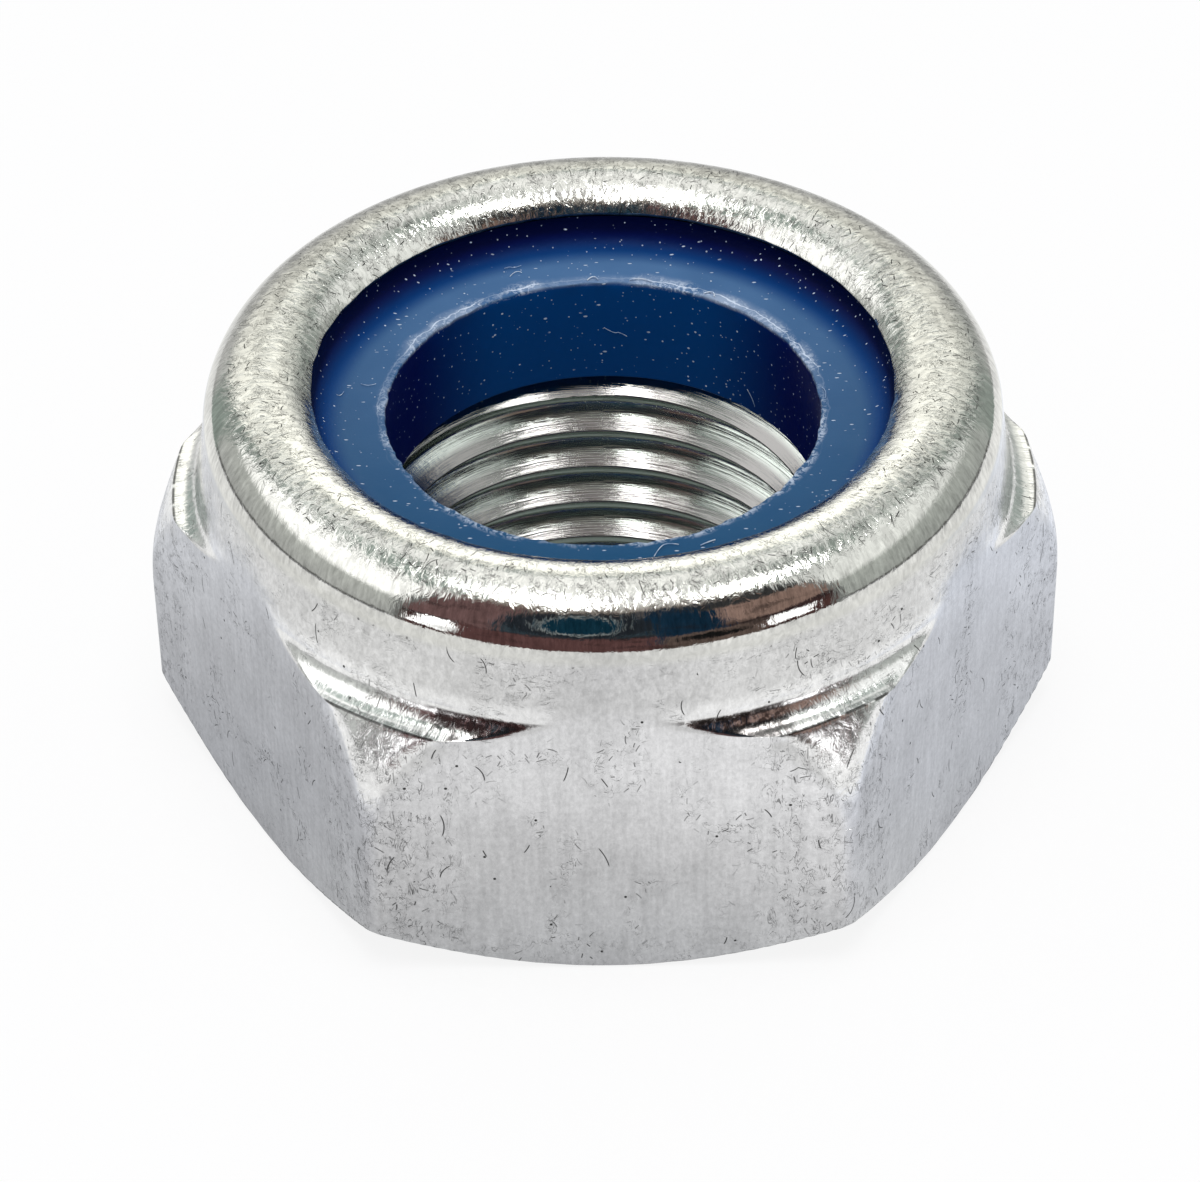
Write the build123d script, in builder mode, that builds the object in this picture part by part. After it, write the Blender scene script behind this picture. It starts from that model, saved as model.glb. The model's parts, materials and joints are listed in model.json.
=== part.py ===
"""Nylon insert lock nut, M10 x 1 fine thread, 17 mm across flats.

A cold-formed steel hexagon nut whose collar is rolled in over a ring of nylon. The frame's origin is the
centre of the bearing face, +Z runs up the thread axis, and two of the flats face -Y and +Y.
All lengths are in millimetres.
"""
import os
from math import cos, degrees, radians, sin, tan

from build123d import *

# ---- hexagon ----
across_flats = 17.0
corner_rounding = 0.45  # radius on the six vertical edges
bearing_face_diameter = 16.92  # flat ring that the nut stands on
bearing_chamfer_angle = 38.0  # cone that rises from the bearing face to the corners
crown_start_height = 3.7  # where the corners begin to lean in towards the shoulder
hexagon_height = 6.22  # height of the shoulder's edge at the corners

# ---- collar ----
collar_overhang = 0.08  # collar's foot beyond the flats, so that it runs down into them mid-face
shoulder_width = 0.56  # from the collar's foot out to the shoulder's edge
shoulder_rise = 0.52  # from the shoulder's edge up to the collar's foot
collar_taper = 0.20  # how much narrower, on the radius, the collar is below the rolled rim
collar_wall = 1.06
rim_bend_radius = 0.21  # inside radius of the rolled rim
rim_wrap_angle = 146.0  # how far the rim is rolled over, from the collar's wall
rim_underside_facets = 4  # the hidden inside of the bend is this many cones, not a round

# ---- thread ----
thread_minor_diameter = 8.92  # plain bore at the crests of the M10 x 1 thread
tapped_height = 5.43  # from the bearing face to the insert's seat
countersink_angle = 120.0
lower_countersink_diameter = 10.8
upper_countersink_diameter = 10.4

# ---- nylon insert ----
insert_height = 2.6  # of the ring's straight outer wall
insert_hole_diameter = 9.12  # between the thread's minor and pitch diameters
insert_clearance = 0.02  # round the ring, where it meets the collar and the rolled rim
dish_depth = 0.73  # from the rim's edge down to the insert's flat top
dish_slope_run = 0.23  # how far the dish's side leans in on its way down

# ---- derived sizes ----
flat_distance = across_flats / 2
corner_radius = flat_distance / cos(radians(30)) - corner_rounding * (1 / cos(radians(30)) - 1)
collar_foot_radius = flat_distance + collar_overhang
collar_foot_height = hexagon_height + shoulder_rise
shoulder_radius = collar_foot_radius + shoulder_width
collar_top_radius = collar_foot_radius - collar_taper
seat_radius = collar_top_radius - collar_wall
bend_radius = seat_radius - rim_bend_radius  # distance of the rim's bend centre from the axis
bend_height = tapped_height + insert_height
rim_roll_radius = rim_bend_radius + collar_wall
nut_height = bend_height + rim_roll_radius
chamfer_reach = flat_distance / cos(radians(30)) + 0.5  # cones run this far, just past the sharp corners


def around_bend(radius, angle):
    """Point of the half section at this radius and angle about the rim's bend centre."""
    return (bend_radius + radius * cos(radians(angle)), bend_height + radius * sin(radians(angle)))


rim_edge = around_bend(rim_roll_radius, rim_wrap_angle)
rim_underside = [
    around_bend(rim_bend_radius, rim_wrap_angle * (1 - facet / rim_underside_facets))
    for facet in range(rim_underside_facets + 1)
]
thread_radius = thread_minor_diameter / 2


def countersink_depth(diameter):
    """Depth of a countersink of this mouth diameter, down to the thread's crests."""
    return (diameter / 2 - thread_radius) / tan(radians(countersink_angle / 2))


# The body is a turned blank cut by a hexagon, so each flat meets the round forms in a curved edge. At the
# corners the crown leans in to the shoulder's edge, and a cove runs from there up into the collar.
bearing_radius = bearing_face_diameter / 2
chamfer_rise = (chamfer_reach - bearing_radius) * tan(radians(bearing_chamfer_angle))

with BuildPart() as nut_body:
    with BuildSketch(Plane.XZ):
        with BuildLine():
            Polyline(
                (0, nut_height),
                (0, 0),
                (bearing_radius, 0),
                (chamfer_reach, chamfer_rise),
                (chamfer_reach, crown_start_height),
                (corner_radius, crown_start_height),
            )
            TangentArc(
                (corner_radius, crown_start_height),
                (shoulder_radius, hexagon_height),
                tangent=(0, 1),
            )
            TangentArc(
                (collar_foot_radius, collar_foot_height),
                (shoulder_radius, hexagon_height),
                tangent=(0, -1),
            )
            Line((collar_foot_radius, collar_foot_height), around_bend(rim_roll_radius, 0))
            CenterArc((bend_radius, bend_height), rim_roll_radius, 0, 90)
            Line(around_bend(rim_roll_radius, 90), (0, nut_height))
        make_face()
    revolve(axis=Axis.Z)

    with BuildSketch():
        hexagon = RegularPolygon(flat_distance, side_count=6, major_radius=False)
        fillet(hexagon.vertices(), radius=corner_rounding)
    extrude(amount=nut_height, mode=Mode.INTERSECT)

    # Everything inside is turned in one go: the countersunk thread, the insert's seat, and the underside
    # and inner half of the rolled rim.
    with BuildSketch(Plane.XZ):
        with BuildLine():
            Polyline(
                around_bend(rim_bend_radius, 0),
                (seat_radius, tapped_height),
                (upper_countersink_diameter / 2, tapped_height),
                (thread_radius, tapped_height - countersink_depth(upper_countersink_diameter)),
                (thread_radius, countersink_depth(lower_countersink_diameter)),
                (lower_countersink_diameter / 2, 0),
                (0, 0),
                (0, nut_height),
                around_bend(rim_roll_radius, 90),
            )
            CenterArc((bend_radius, bend_height), rim_roll_radius, 90, rim_wrap_angle - 90)
            Polyline(rim_edge, *rim_underside)
        make_face()
    revolve(axis=Axis.Z, mode=Mode.SUBTRACT)

# The nylon ring stands on the seat and fills the collar up to the rolled rim, with its top outer edge
# chamfered under the rim's bend. Its top is a shallow dish: flat round the hole, with a steep side that ends
# at the rim's edge.
ring_bend_radius = rim_bend_radius - insert_clearance
ring_wrap_angle = rim_wrap_angle + degrees(insert_clearance / collar_wall)
ring_edge = around_bend(rim_roll_radius, ring_wrap_angle)
dish_height = rim_edge[1] - dish_depth

with BuildPart() as nylon_insert:
    with BuildSketch(Plane.XZ):
        with BuildLine():
            Polyline(
                around_bend(ring_bend_radius, 0),
                (seat_radius - insert_clearance, tapped_height),
                (insert_hole_diameter / 2, tapped_height),
                (insert_hole_diameter / 2, dish_height),
                (ring_edge[0] - dish_slope_run, dish_height),
                ring_edge,
                around_bend(ring_bend_radius, ring_wrap_angle),
                close=True,
            )
        make_face()
    revolve(axis=Axis.Z)

nut_body.part.label = "nut_body"
nylon_insert.part.label = "nylon_insert"

os.makedirs("parts", exist_ok=True)
export_step(nut_body.part, "parts/nut_body.step")
export_step(nylon_insert.part, "parts/nylon_insert.step")
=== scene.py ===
# %% [markdown]
# # A lock nut with a nylon ring
#
# This lesson dresses a hexagon lock nut. Steel is cold-formed into a hexagon with a round collar on top, a
# ring of blue nylon is dropped into the collar, and the collar's rim is rolled in over the ring so that it
# can't come out. A bolt cuts its own thread in the nylon, which then grips it.
#
# The frame comes first: it holds the two plain solids that every piece below has to agree with.

# %% The frame
import json
from math import atan2, cos, degrees, pi, radians, sin, tan

import bpy
import numpy as np
from mathutils import Matrix, Vector
from mathutils import noise as wave

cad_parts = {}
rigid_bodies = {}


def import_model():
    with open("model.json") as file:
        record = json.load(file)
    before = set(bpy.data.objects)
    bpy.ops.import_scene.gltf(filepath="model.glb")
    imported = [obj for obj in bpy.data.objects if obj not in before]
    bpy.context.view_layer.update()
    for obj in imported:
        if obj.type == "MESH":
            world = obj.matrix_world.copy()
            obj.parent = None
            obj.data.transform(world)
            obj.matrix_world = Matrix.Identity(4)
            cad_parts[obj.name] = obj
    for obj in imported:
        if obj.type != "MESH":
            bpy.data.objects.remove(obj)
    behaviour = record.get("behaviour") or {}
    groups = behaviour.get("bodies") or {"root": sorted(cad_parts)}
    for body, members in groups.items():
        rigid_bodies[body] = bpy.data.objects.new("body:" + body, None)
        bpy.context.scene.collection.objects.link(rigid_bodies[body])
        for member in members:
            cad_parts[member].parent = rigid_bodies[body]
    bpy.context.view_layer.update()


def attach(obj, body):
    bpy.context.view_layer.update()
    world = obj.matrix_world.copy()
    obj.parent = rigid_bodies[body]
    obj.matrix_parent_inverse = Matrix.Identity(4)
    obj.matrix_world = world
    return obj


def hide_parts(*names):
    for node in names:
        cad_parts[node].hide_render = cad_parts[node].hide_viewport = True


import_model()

MM = 0.001

# %% [markdown]
# ## Camera
#
# A small part is looked at from some way off through a long lens, so that its near side doesn't swell. The
# camera stands in front of a flat, looks down at about 39 degrees and is tipped by less than a degree.

# %% Camera
look_down = radians(39.33)
camera_distance = 97.39 * MM
camera_side = -0.118 * MM
aim_height = 3.06 * MM
camera_tip = radians(-0.823)
lens_length, film_width = 135, 36
nearest_seen, farthest_seen = 1 * MM, 10

bpy.ops.object.select_all(action="DESELECT")
bpy.ops.object.camera_add()
camera = bpy.context.object
camera.name = "camera"
camera.data.sensor_fit = "HORIZONTAL"
camera.data.sensor_width = film_width
camera.data.lens = lens_length
camera.data.clip_start = nearest_seen
camera.data.clip_end = farthest_seen
camera.matrix_world = (
    Matrix.Translation(
        (camera_side, -camera_distance * cos(look_down), aim_height + camera_distance * sin(look_down))
    )
    @ Matrix.Rotation(pi / 2 - look_down, 4, "X")
    @ Matrix.Rotation(camera_tip, 4, "Z")
)
bpy.context.scene.camera = camera
print("camera at, mm:", [round(value / MM, 2) for value in camera.matrix_world.translation])

# %% [markdown]
# ## Shader maths
#
# Finishes are sums of patterns. Written node by node they are hard to read, so a `Wire` stands for one socket
# and takes +, -, *, / and **, and each of these adds a Math node. Patterns are measured in millimetres, and a
# relief's height is too.

# %% Wires
class Wire:
    """One output socket, on which maths can be done."""

    def __init__(self, finish, socket):
        self.finish, self.socket = finish, socket

    def maths(self, operation, *values):
        inputs = dict(enumerate(values))
        return self.finish.node("ShaderNodeMath", {"operation": operation}, inputs)

    def __add__(self, other):
        return self.maths("ADD", self, other)

    def __radd__(self, other):
        return self.maths("ADD", other, self)

    def __sub__(self, other):
        return self.maths("SUBTRACT", self, other)

    def __rsub__(self, other):
        return self.maths("SUBTRACT", other, self)

    def __mul__(self, other):
        return self.maths("MULTIPLY", self, other)

    def __rmul__(self, other):
        return self.maths("MULTIPLY", other, self)

    def __truediv__(self, other):
        return self.maths("DIVIDE", self, other)

    def __rtruediv__(self, other):
        return self.maths("DIVIDE", other, self)

    def __pow__(self, other):
        return self.maths("POWER", self, other)

    def __neg__(self):
        return self.maths("MULTIPLY", self, -1.0)

    def __abs__(self):
        return self.maths("ABSOLUTE", self)

    def least(self, other):
        return self.maths("MINIMUM", self, other)

    def most(self, other):
        return self.maths("MAXIMUM", self, other)

    def rise(self, low, high):
        """0 below low, 1 above high, and a smooth step between them."""
        inputs = {"Value": self, "From Min": low, "From Max": high}
        return self.finish.node("ShaderNodeMapRange", {"interpolation_type": "SMOOTHSTEP"}, inputs)

    def fall(self, low, high):
        """1 below low, 0 above high, and a smooth step between them."""
        return 1.0 - self.rise(low, high)

    def band(self, low, high, soft):
        """1 between low and high, fading to 0 over soft on each side."""
        return self.rise(low - soft, low) * self.fall(high, high + soft)


print("wires ready")

# %% [markdown]
# A `Finish` owns the whole tree. Its first method makes any node in one call, from the node's kind, its
# settings, and a value or a wire for each socket. The others are the few that every finish here needs.

# %% Finishes
class Finish:
    """A node tree that is being built: a material's or the world's."""

    def __init__(self, owner):
        owner.use_nodes = True
        self.owner, self.tree = owner, owner.node_tree
        self.tree.nodes.clear()

    def node(self, kind, settings=None, inputs=None, output=0):
        made = self.tree.nodes.new(kind)
        for name, value in (settings or {}).items():
            if name == "stops":
                stops = made.color_ramp.elements
                while len(stops) < len(value):
                    stops.new(1.0)
                for stop, (position, colour) in zip(stops, value):
                    stop.position, stop.color = position, (*colour, 1.0)
            else:
                setattr(made, name, value)
        for name, value in (inputs or {}).items():
            if isinstance(value, Wire):
                self.tree.links.new(value.socket, made.inputs[name])
            else:
                made.inputs[name].default_value = value
        return Wire(self, made.outputs[output] if made.outputs else made)

    def mix(self, first, second, share):
        """A blend of two colours."""
        inputs = {0: share, 6: first, 7: second}
        for slot in (6, 7):
            if isinstance(inputs[slot], tuple) and len(inputs[slot]) == 3:
                inputs[slot] = (*inputs[slot], 1.0)
        return self.node("ShaderNodeMix", {"data_type": "RGBA"}, inputs, 2)

    def ramp(self, value, stops):
        """A colour for each value, from (value, colour) pairs in rising order."""
        low, high = stops[0][0], stops[-1][0]
        stops = [((at - low) / (high - low), colour) for at, colour in stops]
        share = (value - low) / (high - low)
        return self.node("ShaderNodeValToRGB", {"stops": stops}, {"Fac": share})

    def place(self):
        """Object coordinates in millimetres."""
        place = self.node("ShaderNodeTexCoord", output="Object")
        return self.node("ShaderNodeVectorMath", {"operation": "SCALE"}, {0: place, "Scale": 1 / MM})

    def split(self, vector):
        parts = self.tree.nodes.new("ShaderNodeSeparateXYZ")
        self.tree.links.new(vector.socket, parts.inputs[0])
        return [Wire(self, socket) for socket in parts.outputs]

    def join(self, x, y, z):
        return self.node("ShaderNodeCombineXYZ", None, {0: x, 1: y, 2: z})

    def noise(self, where, scale, detail=2.0, roughness=0.5, distortion=0.0):
        inputs = {"Vector": where, "Scale": scale, "Detail": detail, "Roughness": roughness,
                  "Distortion": distortion}
        return self.node("ShaderNodeTexNoise", None, inputs)

    def bump(self, height):
        """The surface's tilt for a relief of this height."""
        return self.node("ShaderNodeBump", None, {"Strength": 1.0, "Distance": MM, "Height": height})

    def cover(self, piece, shader):
        """Ends the tree in this shader, and gives it to the piece as its only material."""
        self.node("ShaderNodeOutputMaterial", None, {"Surface": shader})
        piece.data.materials.clear()
        piece.data.materials.append(self.owner)
        print(self.owner.name, "nodes:", len(self.tree.nodes))


print("finishes ready")

# %% [markdown]
# An operator acts on all that is selected, so the pieces that it is meant for are picked first.

# %% Picking
def pick(*pieces):
    """Selects these pieces alone, with the first as the active one."""
    bpy.ops.object.select_all(action="DESELECT")
    for piece in pieces:
        piece.select_set(True)
    bpy.context.view_layer.objects.active = pieces[0]


print("picking ready")

# %% [markdown]
# ## Floor
#
# The nut stands on a small white card. It keeps a faint share of plain diffuse white, so that the nut's own
# shadow still falls on it. In the metal the card shows a painted shade: darkest under the bore and round the
# foot, where little light gets to, with a painted tint that is a little greyer on the left and bluer on the
# right. Far out it is nearly white.

# %% Floor
card_radius = 46 * MM
card_drop = 0.004 * MM
bpy.ops.object.select_all(action="DESELECT")
bpy.ops.mesh.primitive_circle_add(vertices=96, radius=card_radius, fill_type="NGON", location=(0, 0, 0))
floor = bpy.context.object
floor.name = "floor"
floor.data.transform(Matrix.Translation((0, 0, -card_drop)))
print("card across, mm:", round(floor.dimensions.x / MM, 1))

# %% [markdown]
# The card's painted shade in the metal is one ramp by distance from the axis, times a painted tint from left
# to right, which gives way to a paler one far out.

# %% Card
card = Finish(bpy.data.materials.new("white_card"))
east, north, _ = card.split(card.place())
away = (east * east + north * north) ** 0.5
seen = card.node("ShaderNodeLightPath", output="Is Camera Ray")
mirrored = card.node("ShaderNodeLightPath", output="Is Glossy Ray")
passed = card.node("ShaderNodeLightPath", output="Is Transmission Ray")
# Painted shade round the foot and under the bore, as mirror rays see the card.
painted_shade_by_distance = card.ramp(away, [
    (0, (0.20, 0.225, 0.21)), (5.4, (0.20, 0.225, 0.21)), (7.5, (0.44, 0.44, 0.46)),
    (9.0, (0.69, 0.70, 0.71)), (12, (0.85, 0.85, 0.85)), (14, (1.08, 1.08, 1.08)),
    (15.5, (1.15, 1.15, 1.15)), (19, (1.02, 1.02, 1.01)), (30, (1.0, 1.0, 1.0))])
# Painted tint: greyer on the left, bluer on the right.
painted_tint_by_side = card.ramp(east, [
    (-16, (0.70, 0.72, 0.755)), (-9, (0.76, 0.77, 0.80)), (-5, (0.90, 0.90, 0.90)),
    (0, (0.98, 0.98, 0.98)), (5, (1.10, 1.10, 1.10)), (9, (0.95, 0.97, 1.02)), (16, (0.76, 0.80, 0.88))])
far_out = card.ramp(east, [(-14, (1.04, 1.04, 1.02)), (0, (0.89, 0.89, 0.89)), (14, (1.08, 1.08, 1.06))])
painted_tint_by_side = card.mix(painted_tint_by_side, far_out, away.rise(15.5, 20))
in_metal = card.node("ShaderNodeMix", {"data_type": "RGBA", "blend_type": "MULTIPLY"},
                     {0: 1.0, 6: painted_shade_by_distance, 7: painted_tint_by_side}, 2)
paper = card.mix(in_metal, (1.0, 1.0, 1.0), seen)
plain_white = card.node("ShaderNodeBsdfDiffuse", None, {"Color": (0.9, 0.9, 0.91, 1)})
bright_white = card.node("ShaderNodeEmission", None, {"Color": paper, "Strength": 1.0})
lit = seen * 0.85 + mirrored.most(passed) * 0.95
shown = card.node("ShaderNodeMixShader", None, {0: lit, 1: plain_white, 2: bright_white})
card.cover(floor, shown)

# %% [markdown]
# ## Studio
#
# Bright metal has no colour of its own to speak of: it shows what stands round it. Small bright parts are lit
# in a light tent, a white box with lamps in its roof and an opening in front for the camera. The tent is
# painted in the world by direction, and only mirror rays see it. The camera sees plain white, and every other
# ray gets one even pale grey.
#
# Directions are given as the angle round from the front, with the right positive, and the angle above the
# horizon.

# %% Directions
bpy.context.scene.world = bpy.data.worlds.new("studio")
studio = Finish(bpy.context.scene.world)
east, north, height = studio.split(studio.node("ShaderNodeTexCoord", output="Generated"))
turn = east.maths("ARCTAN2", east, north * -1.0) * degrees(1)
climb = height.maths("ARCSINE", height) * degrees(1)
sideways = east.maths("ARCSINE", east) * degrees(1)


def window(where, low, high, start, end, soft):
    """Mask of a soft-edged box, in degrees: it climbs from low to high and runs round from start to end."""
    turned, climbed = where
    return turned.band(start, end, soft) * climbed.band(low, high, soft)


def oval(where, middle_turn, middle_climb, half_turn, half_climb, soft=0.05):
    """Mask of an oval patch, in degrees."""
    turned, climbed = where
    a, b = (turned - middle_turn) / half_turn, (climbed - middle_climb) / half_climb
    return ((a * a + b * b) ** 0.5).fall(1.0, 1.0 + soft)


def paint(ground, patches):
    """The ground colour with patches laid over it in turn, each a mask and its colour."""
    for mask, colour in patches:
        ground = studio.mix(ground, colour, mask)
    return ground


print("direction nodes:", len(studio.tree.nodes))

# %% [markdown]
# The tent's walls are bright at the height of the lamps' spill and greenish grey in the fold under the roof.
# The wall behind is cream below its fold. The two meet in dull corners, and the right wall is a little darker.

# %% Tent walls
walls_beside = studio.ramp(climb, [
    (-60, (0.60, 0.60, 0.63)), (-12, (0.62, 0.62, 0.64)), (-9.5, (0.10, 0.10, 0.09)),
    (-7, (0.55, 0.56, 0.54)), (18, (0.68, 0.70, 0.66)), (25, (1.75, 1.75, 1.70)), (52, (1.85, 1.85, 1.80)),
    (56.5, (0.36, 0.44, 0.39)), (64, (0.36, 0.44, 0.39)), (71, (1.65, 1.65, 1.60)), (90, (1.50, 1.50, 1.45))])
wall_behind = studio.ramp(climb, [
    (-60, (1.10, 1.10, 1.06)), (-38, (0.80, 0.80, 0.78)), (-10, (0.70, 0.70, 0.68)), (6, (0.80, 0.80, 0.77)),
    (15, (1.45, 1.44, 1.32)), (35, (1.62, 1.61, 1.46)), (40, (1.30, 1.30, 1.20)), (43, (0.48, 0.53, 0.50)),
    (46, (0.48, 0.53, 0.50)), (51, (1.40, 1.40, 1.35)), (90, (1.50, 1.50, 1.45))])
tent = paint(walls_beside, [
    (abs(turn).rise(133, 150), wall_behind),
    (abs(turn).band(131, 139, 5) * climb.band(-30, 42, 12), (0.36, 0.42, 0.38)),
    (turn.band(62, 155, 6) * climb.band(-6, 80, 4) * 0.45, (0.40, 0.44, 0.40)),
])
print("tent nodes:", len(studio.tree.nodes))

# %% [markdown]
# Through the opening the steel shows the room in front: brown walls, blue-black gaps between them, and pale
# cloth near the roof. Noise ripples the edges of these zones, as things in a real room are never straight, and
# mottles them with dark.

# %% Room in front
zone_ripple, lens_ripple = (9.0, 14.0), (1.6, 2.5)
ripple_x, ripple_y, mottle = studio.split(studio.node("ShaderNodeTexNoise", None, {
    "Vector": studio.join(east, north, height), "Scale": 5.0, "Detail": 3.0, "Roughness": 0.65}, 1))


def rippled(size):
    """Turn and climb, shifted by noise of this size in degrees."""
    return turn + (ripple_x - 0.5) * size[0], climb + (ripple_y - 0.5) * size[1]


zones = rippled(zone_ripple)
room = studio.ramp(zones[1], [
    (-13, (0.10, 0.05, 0.046)), (0, (0.11, 0.052, 0.046)), (12, (0.05, 0.03, 0.03)),
    (16, (0.04, 0.06, 0.075)), (40, (0.035, 0.055, 0.07)), (53, (0.13, 0.11, 0.10)), (58, (0.34, 0.29, 0.25)),
    (63, (0.58, 0.54, 0.50)), (70, (1.00, 0.99, 0.95)), (84, (1.40, 1.40, 1.35)), (90, (1.50, 1.50, 1.45))])
room = paint(room, [
    (window(zones, 14, 56, -56, -31, 2.5), (0.20, 0.115, 0.112)),
    (window(zones, -20, 11, -38, 14, 2.5), (0.135, 0.066, 0.064)),
    (window(zones, -2, 56, 14, 31, 2), (0.008, 0.030, 0.060)),
    (window(zones, 14, 44, 33, 62, 2.5), (0.34, 0.225, 0.185)),
    (window(zones, 44, 53, 30, 62, 2), (0.05, 0.05, 0.05)),
    (window(zones, -20, 10, 16, 40, 2), (0.14, 0.10, 0.085)),
    (oval(zones, 27, 1, 7, 4, 0.6), (0.01, 0.01, 0.01)),
    (window(zones, -8, 9, -50, -40, 1.0), (2.6, 2.6, 2.6)),
    (window(zones, -8, 7, 43, 53, 1.0), (2.6, 2.6, 2.6)),
    (mottle.rise(0.52, 0.66) * zones[1].fall(55, 60) * 0.55, (0.015, 0.012, 0.012)),
])
print("room nodes:", len(studio.tree.nodes))

# %% [markdown]
# The lens itself shows as a dark blue oval in a grey ring.

# %% Lens
lens_turn, lens_climb = -7.4, 35
barrel = rippled(lens_ripple)
room = paint(room, [
    (oval(barrel, lens_turn, lens_climb, 21, 21), (0.022, 0.028, 0.036)),
    (oval(barrel, lens_turn, lens_climb, 12.8, 16.4), (0.30, 0.33, 0.33)),
    (oval(barrel, lens_turn, lens_climb, 11.5, 14.2), (0.006, 0.036, 0.062)),
])
print("lens nodes:", len(studio.tree.nodes))

# %% [markdown]
# Two bright bars and a dim one hang under the roof in front. The thread's crests show them as glints. The roof
# is duller between the two bright ones.

# %% Lamps in the roof
lamp_colour = (15.0, 15.0, 14.5)
bar_edge = 0.8
dim_bar = 0.22
lamp_bars = sideways.band(-9.5, -4.5, bar_edge).most(sideways.band(18.0, 25.0, bar_edge))
lamp_bars = lamp_bars.most(sideways.band(-21.0, -15.0, bar_edge) * dim_bar)
lamp_bars = lamp_bars * climb.band(64, 82, 2) * north.fall(0.0, 0.1)
between_lamps = sideways.band(-1, 16, 2) * climb.band(76, 87, 2) * 0.85
room = paint(room, [(between_lamps, (0.72, 0.70, 0.70)), (lamp_bars, lamp_colour)])
tent = paint(tent, [(lamp_bars, lamp_colour)])
print("lamp nodes:", len(studio.tree.nodes))

# %% [markdown]
# The opening is a box of directions with a grey frame on both sides. Light Path tells the rays apart.

# %% World
low_edge, left_edge, right_edge = -13, -53, 60
opening = turn.band(left_edge, right_edge, 1.0) * climb.rise(low_edge, low_edge + 1)
frame_sides = turn.band(left_edge - 3, left_edge, 0.7).most(turn.band(right_edge, right_edge + 3, 0.7))
tent = paint(tent, [(frame_sides * climb.band(low_edge, 57, 2), (0.25, 0.26, 0.25))])


def sky(colour):
    return studio.node("ShaderNodeBackground", None, {"Color": colour, "Strength": 1.0})


def choose(share, first, second):
    return studio.node("ShaderNodeMixShader", None, {0: share, 1: first, 2: second})


seen = studio.node("ShaderNodeLightPath", output="Is Camera Ray")
mirrored = studio.node("ShaderNodeLightPath", output="Is Glossy Ray")
passed = studio.node("ShaderNodeLightPath", output="Is Transmission Ray")
surroundings = choose(opening, sky(tent), sky(room))
unseen = choose(mirrored.most(passed), sky((0.62, 0.62, 0.63, 1)), surroundings)
studio.node("ShaderNodeOutputWorld", None, {"Surface": choose(seen, unseen, sky((1, 1, 1, 1)))})
print("studio nodes:", len(studio.tree.nodes))

# %% [markdown]
# One wide soft lamp hangs over the nut. It lights what is dull, such as the nylon's top, and leaves the hole's
# wall in shade. Mirror rays don't see it, because the tent's roof is already painted.

# %% Lamp
lamp_width, lamp_power = 0.20, 0.45
bpy.ops.object.select_all(action="DESELECT")
bpy.ops.object.light_add(type="AREA", location=(0, -0.05, 0.30))
lamp = bpy.context.object
lamp.name = "soft_lamp"
lamp.data.shape = "DISK"
lamp.data.size = lamp_width
lamp.data.energy = lamp_power
lamp.rotation_euler = Vector(lamp.location).to_track_quat("Z", "Y").to_euler()
lamp.visible_glossy = False
print("lamp height, mm:", round(lamp.location.z / MM))

# %% [markdown]
# ## Steel body
#
# The real body is a slug of wire that is upset in dies, pierced, and tapped, and its collar is turned thin.
# It could be made as a lathed shape cut by a hexagon with a boolean, but that leaves knife edges and slivers
# where the round forms run out into the flats, and a bevel trips over them. Here the lathed shape is spun
# first, and a press then pushes its skin in to the hexagon with a soft minimum, which rounds every
# edge as the dies do. The collar runs down into a cove and out to a narrow shoulder, which the flats cut off,
# so that it shows as a scoop above each corner.

# %% Sizes of the body
across_flats = 17.0
corner_rounding = 0.45
blank_radius = 9.80
bearing_radius = 8.46
bearing_chamfer = radians(38)
crown_start = 3.7
shoulder_radius, shoulder_height = 9.14, 6.22
collar_foot_radius, collar_foot_height = 8.58, 6.74
bend_radius, bend_height = 7.11, 8.03
roll_radius, underside_radius = 1.27, 0.21
wrap = 146.0
tip_round = 0.04
seat_radius, seat_height = 7.32, 5.43
mouth_below, mouth_above = 5.4, 5.2
crest_radius, root_radius = 4.46, 5.0
pitch = 1.0
turn_steps = 360

flat_distance = across_flats / 2
corner_radius = flat_distance / cos(pi / 6) - corner_rounding * (1 / cos(pi / 6) - 1)
print("over rounded corners, mm:", round(2 * corner_radius, 2))

# %% [markdown]
# The half section is a chain of straight runs and arcs. Each helper leaves out the point that it starts from,
# because the run before it ends there.

# %% Runs and arcs
def along(start, end, count):
    """Points from start to end, without the start."""
    return [tuple(a + (b - a) * (i + 1) / count for a, b in zip(start, end)) for i in range(count)]


def arc(centre, radius, start, end, count):
    """Points round an arc in the half section, angles in degrees, without the start."""
    angles = (radians(start + (end - start) * (i + 1) / count) for i in range(count))
    return [(centre[0] + radius * cos(a), centre[1] + radius * sin(a)) for a in angles]


def tangent_arc(tip, touch, count):
    """Points of the arc that is upright at touch and ends at tip, from touch on, without touch."""
    dx, dz = tip[0] - touch[0], tip[1] - touch[1]
    radius = (dx * dx + dz * dz) / (2 * abs(dx))
    centre = (touch[0] + radius * (1 if dx > 0 else -1), touch[1])
    start = 180.0 if dx > 0 else 0.0
    end = degrees(atan2(dz, tip[0] - centre[0]))
    if end - start > 180:
        end -= 360
    if end - start < -180:
        end += 360
    return arc(centre, radius, start, end, count)


def on_bend(radius, angle):
    """The point at this radius and angle, in degrees, of the rim's bend."""
    return (bend_radius + radius * cos(radians(angle)), bend_height + radius * sin(radians(angle)))


print("helpers ready")

# %% [markdown]
# The section starts at the bottom countersink, runs out along the bearing face, up the blank and over the
# crown to the shoulder, down the cove, up the collar and round the rolled rim. It comes back inside the rim
# and down to the ring's seat.

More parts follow.
